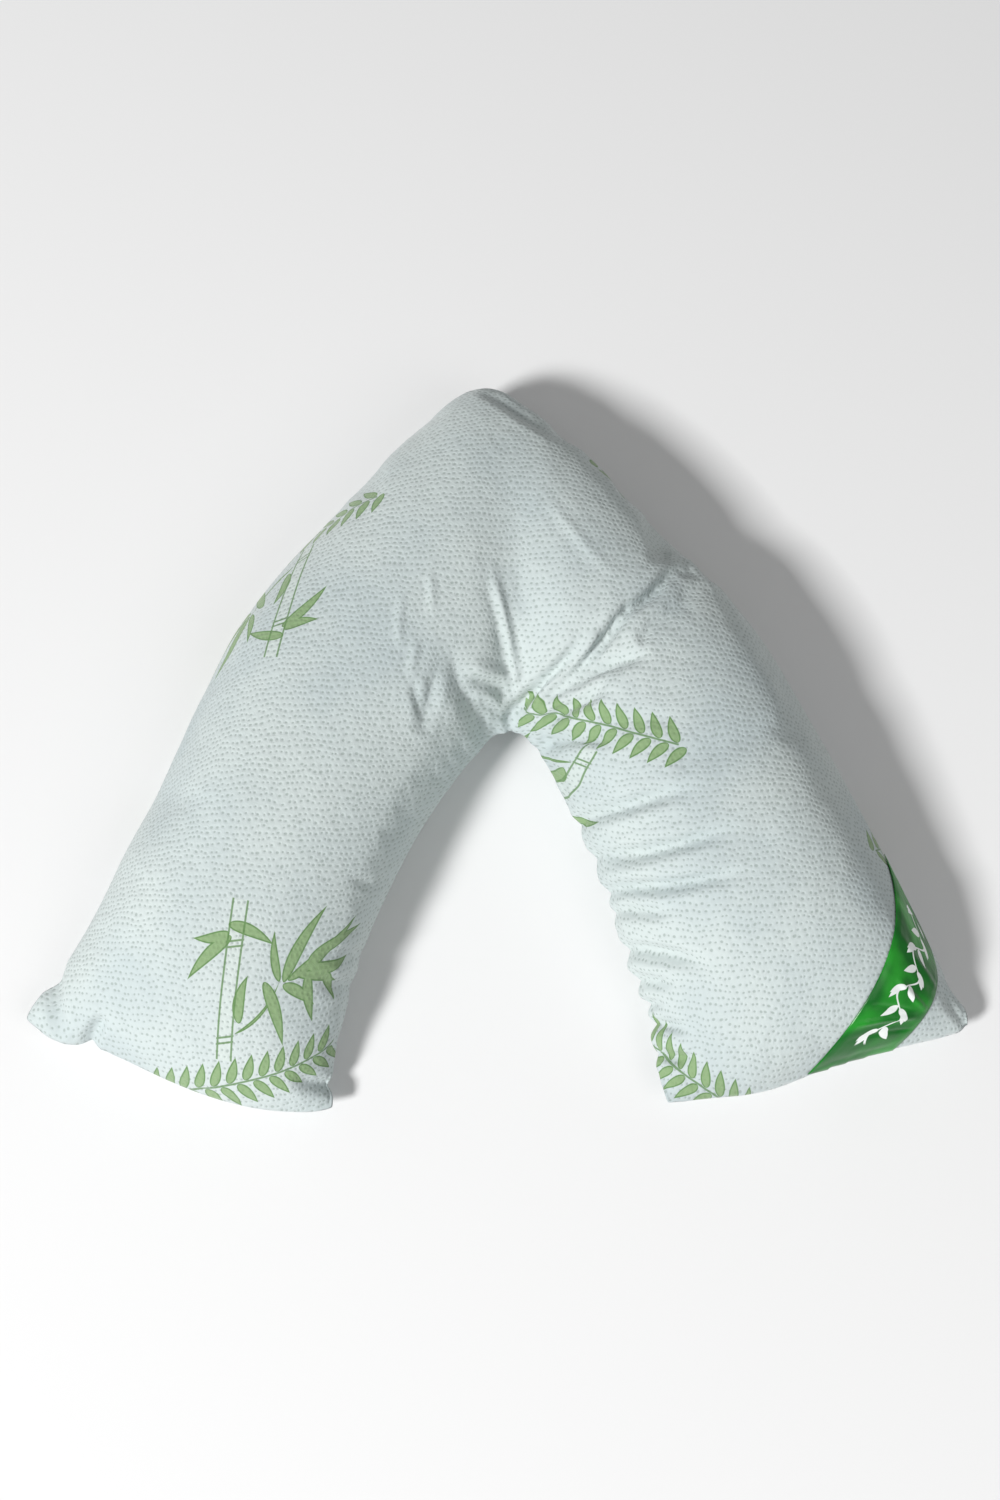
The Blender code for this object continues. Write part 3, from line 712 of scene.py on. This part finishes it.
cover_cloth, tree, shader = new_material("cover_cloth")
cut_map = add(tree, "ShaderNodeUVMap", uv_map="cut").outputs[0]
print_map = add(tree, "ShaderNodeUVMap", uv_map="print").outputs[0]
dots = place_group(tree, dots_group, {"Vector": cut_map})
sprig = place_group(tree, sprig_group, {"Vector": print_map})
# Painted shade: the darker, bluer knit is laid in large random patches, not where the light falls.
painted_shade_patches = add(tree, "ShaderNodeTexNoise", {"Vector": cut_map, "Scale": 7.0, "Detail": 3.0}).outputs["Fac"]
colour = mix(tree, soft_step(tree, painted_shade_patches, 0.35, 0.75), knit_colour, knit_painted_shade_colour)
colour = mix(tree, maths(tree, "MULTIPLY", sprig.outputs["Inside Cane"], cane_share), colour, cane_colour)
colour = mix(tree, maths(tree, "MULTIPLY", dots.outputs["Dot"], dot_share), colour, dot_colour)
colour = mix(tree, maths(tree, "MULTIPLY", sprig.outputs["Fill"], print_share), colour, print_colour)
colour = mix(tree, maths(tree, "MULTIPLY", sprig.outputs["Line"], line_share), colour, print_line_colour)
tree.links.new(colour, shader.inputs["Base Color"])
shader.inputs["Roughness"].default_value = 0.88
shader.inputs["Sheen Weight"].default_value = 0.25
shader.inputs["Sheen Roughness"].default_value = 0.5
shader.inputs["Specular IOR Level"].default_value = 0.25
stitches = add(tree, "ShaderNodeTexNoise", {"Vector": cut_map, "Scale": 900.0, "Detail": 2.0}).outputs["Fac"]
crumple = add(tree, "ShaderNodeTexNoise", {"Vector": cut_map, "Scale": 60.0, "Detail": 4.0}).outputs["Fac"]
relief = maths(tree, "MULTIPLY", crumple, crumple_relief)
relief = maths(tree, "MULTIPLY_ADD", dots.outputs["Height"], dimple_relief, relief)
relief = maths(tree, "MULTIPLY_ADD", stitches, stitch_relief, relief)
bump = add(tree, "ShaderNodeBump", {"Height": relief, "Strength": 1.0, "Distance": 1.0})
tree.links.new(bump.outputs["Normal"], shader.inputs["Normal"])
cover.data.materials.append(cover_cloth)
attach(cover, "root")
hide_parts("pillow")


# Ribbon. A strip of glossy green satin, about 7 cm wide, is sewn down across the corner of the right leg.
# It lies on the knit with a few folds pressed across its lower end, where the corner is slack.
ribbon_inner = ((0.3740, -0.128), (0.3650, -0.230), (0.2955, -0.3375))
ribbon_outer = ((0.4144, -0.222), (0.4150, -0.266), (0.3775, -0.3165))
ribbon_along, ribbon_across = 120, 36
ribbon_lift, ribbon_loft, ribbon_thickness = 0.0009, 0.0012, 0.0006
ribbon_length, ribbon_width = 0.245, 0.070
edge_rise = 12  # how steeply the ribbon rises from its stitched edges
fold_fade = 0.2  # the share of its width over which a fold runs out
RibbonFold = namedtuple("RibbonFold", "along lean width height start stop")
ribbon_folds = (
    RibbonFold(0.60, 0.10, 0.018, 0.0022, 0.25, 1.0),
    RibbonFold(0.70, -0.06, 0.012, -0.0016, 0.0, 0.8),
    RibbonFold(0.76, -0.10, 0.014, 0.0026, 0.0, 0.9),
    RibbonFold(0.84, -0.08, 0.012, -0.0014, 0.1, 1.0),
    RibbonFold(0.42, 0.05, 0.030, 0.0012, 0.0, 1.0),
)


def curve_through(points, t):
    """A point on the curve that starts and ends at the outer points and passes its middle point halfway."""
    a, middle, b = (Vector(p) for p in points)
    pull = middle * 2 - (a + b) / 2
    return a * (1 - t) ** 2 + pull * 2 * t * (1 - t) + b * t * t


bpy.context.view_layer.update()
knit_surface = BVHTree.FromObject(cover, bpy.context.evaluated_depsgraph_get())
ribbon_mesh = bmesh.new()
satin_map = ribbon_mesh.loops.layers.uv.new("satin")
made = bmesh.ops.create_grid(ribbon_mesh, x_segments=ribbon_along, y_segments=ribbon_across, size=0.5)
for vert in made["verts"]:
    along, across = vert.co.x + 0.5, vert.co.y + 0.5
    for loop in vert.link_loops:
        loop[satin_map].uv = (along * ribbon_length, (across - 0.5) * ribbon_width)
    plan = curve_through(ribbon_inner, along).lerp(curve_through(ribbon_outer, along), across)
    spot, normal, _, _ = knit_surface.ray_cast(Vector((plan.x, plan.y, 1.0)), Vector((0, 0, -1)))
    if spot is None:
        spot, normal, _, _ = knit_surface.find_nearest(Vector((plan.x, plan.y, 0.05)))
    puff = 0.0
    for fold in ribbon_folds:
        off = (along - fold.along - fold.lean * (across - 0.5)) / fold.width
        end = min(across - fold.start, fold.stop - across) / fold_fade
        puff += fold.height * math.exp(-off * off) * min(1.0, max(0.0, end))
    edge = min(1.0, min(across, 1 - across, along, 1 - along) * edge_rise)
    vert.co = spot + normal * (ribbon_lift + max(0.0, ribbon_loft + puff) * edge)
bmesh.ops.recalc_face_normals(ribbon_mesh, faces=ribbon_mesh.faces)
if sum(face.normal.z for face in ribbon_mesh.faces) < 0:
    bmesh.ops.reverse_faces(ribbon_mesh, faces=ribbon_mesh.faces)
ribbon_data = bpy.data.meshes.new("ribbon")
ribbon_mesh.to_mesh(ribbon_data)
ribbon_mesh.free()
ribbon_data.shade_smooth()
ribbon = bpy.data.objects.new("ribbon", ribbon_data)
bpy.context.scene.collection.objects.link(ribbon)
weave = ribbon.modifiers.new("weave_thickness", "SOLIDIFY")
weave.thickness = ribbon_thickness
weave.offset = 1.0

# The satin's gloss runs across its threads, and a white line of leaves is printed along its middle. Its
# lighter green is painted sheen, laid in random patches over the dark green.
satin_colour, satin_painted_sheen_colour = (0.004, 0.120, 0.012, 1), (0.020, 0.300, 0.024, 1)
white_ink = (0.86, 0.90, 0.88, 1)
vine_wave, vine_swing, vine_line = 0.056, 0.0090, 0.0014
vine_middle, vine_half_length, vine_fade = ribbon_length * 0.52, 0.092, 0.004
vine_leaves = (
    Leaf(0.001, 0.0, -38, 0.021, 0.0085, 0.004),
    Leaf(0.004, 0.004, 42, 0.020, 0.0080, 0.004),
    Leaf(0.011, 0.0085, 28, 0.015, 0.0060, 0.004),
)
ink_softness = 0.0006
ripple_relief, thread_relief = 0.0012, 0.00002

ribbon_satin, tree, shader = new_material("ribbon_satin")
spot = add(tree, "ShaderNodeUVMap", uv_map="satin").outputs[0]
axes = add(tree, "ShaderNodeSeparateXYZ", {0: spot})
wave = maths(tree, "SINE", maths(tree, "MULTIPLY", axes.outputs["X"], math.tau / vine_wave))
vine_y = maths(tree, "MULTIPLY", wave, vine_swing)
off_vine = maths(tree, "ABSOLUTE", maths(tree, "SUBTRACT", axes.outputs["Y"], vine_y))
ink = soft_step(tree, off_vine, vine_line, vine_line - ink_softness)
half = maths(tree, "FLOOR", maths(tree, "DIVIDE", axes.outputs["X"], vine_wave / 2))
flip = maths(tree, "SUBTRACT", 1, maths(tree, "MULTIPLY", maths(tree, "FLOORED_MODULO", half, 2), 2))
cell_x = maths(tree, "SUBTRACT", axes.outputs["X"], maths(tree, "MULTIPLY", half, vine_wave / 2))
cell_y = maths(tree, "MULTIPLY", axes.outputs["Y"], flip)
leaf_spot = add(tree, "ShaderNodeCombineXYZ", {"X": cell_x, "Y": cell_y}).outputs[0]
for leaf in vine_leaves:
    leaf_ink = soft_step(tree, draw_leaf(tree, leaf_spot, leaf), 0, ink_softness)
    ink = maths(tree, "MAXIMUM", ink, leaf_ink)
off_centre = maths(tree, "ABSOLUTE", maths(tree, "SUBTRACT", axes.outputs["X"], vine_middle))
ends = soft_step(tree, off_centre, vine_half_length, vine_half_length - vine_fade)
ink = maths(tree, "MULTIPLY", ink, ends)
# Painted sheen: lighter green patches laid at random over the satin.
painted_sheen_patches = add(tree, "ShaderNodeTexNoise", {"Vector": spot, "Scale": 22.0, "Detail": 2.0}).outputs["Fac"]
colour = mix(tree, soft_step(tree, painted_sheen_patches, 0.4, 0.7), satin_colour, satin_painted_sheen_colour)
tree.links.new(mix(tree, ink, colour, white_ink), shader.inputs["Base Color"])
shader.inputs["Roughness"].default_value = 0.30
shader.inputs["Specular IOR Level"].default_value = 0.36
shader.inputs["Anisotropic"].default_value = 0.5
threads = add(
    tree, "ShaderNodeTexWave", {"Vector": spot, "Scale": 450.0, "Distortion": 0.6}, bands_direction="Y"
)
ripple = add(tree, "ShaderNodeTexNoise", {"Vector": spot, "Scale": 40.0, "Detail": 2.0}).outputs["Fac"]
relief = maths(tree, "MULTIPLY", ripple, ripple_relief)
relief = maths(tree, "MULTIPLY_ADD", threads.outputs["Fac"], thread_relief, relief)
bump = add(tree, "ShaderNodeBump", {"Height": relief, "Strength": 1.0, "Distance": 1.0})
tree.links.new(bump.outputs["Normal"], shader.inputs["Normal"])
ribbon.data.materials.append(ribbon_satin)
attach(ribbon, "root")
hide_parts("corner_ribbon")


# Studio. A plain pale floor, a key light high at the front left and a weak one at the front right.
floor_mesh = bmesh.new()
bmesh.ops.create_grid(floor_mesh, x_segments=1, y_segments=1, size=6)
floor_data = bpy.data.meshes.new("floor")
floor_mesh.to_mesh(floor_data)
floor = bpy.data.objects.new("floor", floor_data)
floor.location.z = -0.0003
bpy.context.scene.collection.objects.link(floor)
paint, _, shader = new_material("floor_paint")
shader.inputs["Base Color"].default_value = (0.82, 0.82, 0.82, 1)
shader.inputs["Roughness"].default_value = 0.9
floor.data.materials.append(paint)

Lamp = namedtuple("Lamp", "name place size watts")
for lamp in (
    Lamp("key_light", (-4.5, -3.3, 5.2), 1.4, 600),
    Lamp("fill_light", (1.3, -1.3, 2.2), 1.6, 12),
):
    light = bpy.data.lights.new(lamp.name, "AREA")
    light.size = lamp.size
    light.energy = lamp.watts
    holder = bpy.data.objects.new(lamp.name, light)
    holder.location = lamp.place
    holder.rotation_mode = "QUATERNION"
    holder.rotation_quaternion = (-Vector(lamp.place)).to_track_quat("-Z", "Y")
    bpy.context.scene.collection.objects.link(holder)
world = bpy.data.worlds.new("studio")
world.use_nodes = True
background = world.node_tree.nodes["Background"]
background.inputs["Color"].default_value = (1, 1, 1, 1)
background.inputs["Strength"].default_value = 0.25
bpy.context.scene.world = world
